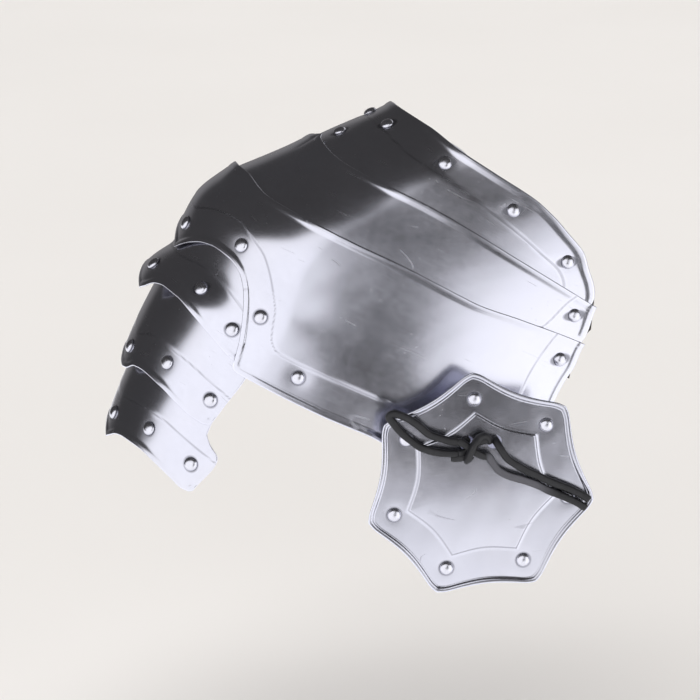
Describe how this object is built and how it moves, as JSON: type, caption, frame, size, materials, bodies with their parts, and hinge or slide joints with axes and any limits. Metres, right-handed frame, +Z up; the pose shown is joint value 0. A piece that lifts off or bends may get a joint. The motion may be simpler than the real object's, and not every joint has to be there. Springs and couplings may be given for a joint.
{
  "type": "right-shoulder pauldron with a hanging besagew",
  "caption": "Worn right-shoulder armour of overlapping riveted steel lames, with a seven-sided hollow-edged besagew tied on at the front by a leather lace.",
  "frame": {"origin": "on the outer face of the main plate's crown, over the point of the shoulder that carries it", "axes": "+Z up as worn, +X from the upper arm toward the wearer's neck and chest, -Y to the wearer's front"},
  "size_m": [0.3275, 0.2766, 0.3108],
  "materials": {
    "steel": "satin-polished steel",
    "inner_leather": "plain brown strap leather",
    "lace_leather": "black waxed leather lace"
  },
  "bodies": {
    "root": {"main_plate": "steel", "neck_lame_lower": "steel", "neck_lame_upper": "steel", "arm_lame_1": "steel", "arm_lame_2": "steel", "arm_lame_3": "steel", "besagew": "steel", "main_plate_rivet_1": "steel", "main_plate_rivet_2": "steel", "main_plate_rivet_3": "steel", "main_plate_rivet_4": "steel", "main_plate_rivet_5": "steel", "main_plate_rivet_6": "steel", "main_plate_rivet_7": "steel", "main_plate_rivet_8": "steel", "main_plate_rivet_9": "steel", "neck_lame_lower_rivet_1": "steel", "neck_lame_lower_rivet_2": "steel", "neck_lame_upper_rivet_1": "steel", "neck_lame_upper_rivet_2": "steel", "neck_lame_upper_rivet_3": "steel", "neck_lame_upper_rivet_4": "steel", "neck_lame_upper_rivet_5": "steel", "neck_lame_upper_rivet_6": "steel", "neck_lame_upper_rivet_7": "steel", "neck_lame_upper_rivet_8": "steel", "neck_lame_upper_rivet_9": "steel", "arm_lame_1_rivet_1": "steel", "arm_lame_1_rivet_2": "steel", "arm_lame_1_rivet_3": "steel", "arm_lame_1_rivet_4": "steel", "arm_lame_1_rivet_5": "steel", "arm_lame_2_rivet_1": "steel", "arm_lame_2_rivet_2": "steel", "arm_lame_2_rivet_3": "steel", "arm_lame_2_rivet_4": "steel", "arm_lame_2_rivet_5": "steel", "arm_lame_3_rivet_1": "steel", "arm_lame_3_rivet_2": "steel", "arm_lame_3_rivet_3": "steel", "arm_lame_3_rivet_4": "steel", "arm_lame_3_rivet_5": "steel", "besagew_rivet_1": "steel", "besagew_rivet_2": "steel", "besagew_rivet_3": "steel", "besagew_rivet_4": "steel", "besagew_rivet_5": "steel", "besagew_rivet_6": "steel", "besagew_rivet_7": "steel", "arm_leather_front": "inner_leather", "arm_leather_back": "inner_leather", "neck_leather_front": "inner_leather", "neck_leather_back": "inner_leather", "lace_hanger": "lace_leather", "lace_loop": "lace_leather", "lace_end_upper": "lace_leather", "lace_end_lower": "lace_leather", "lace_knot": "lace_leather"}
  },
  "joints": []
}
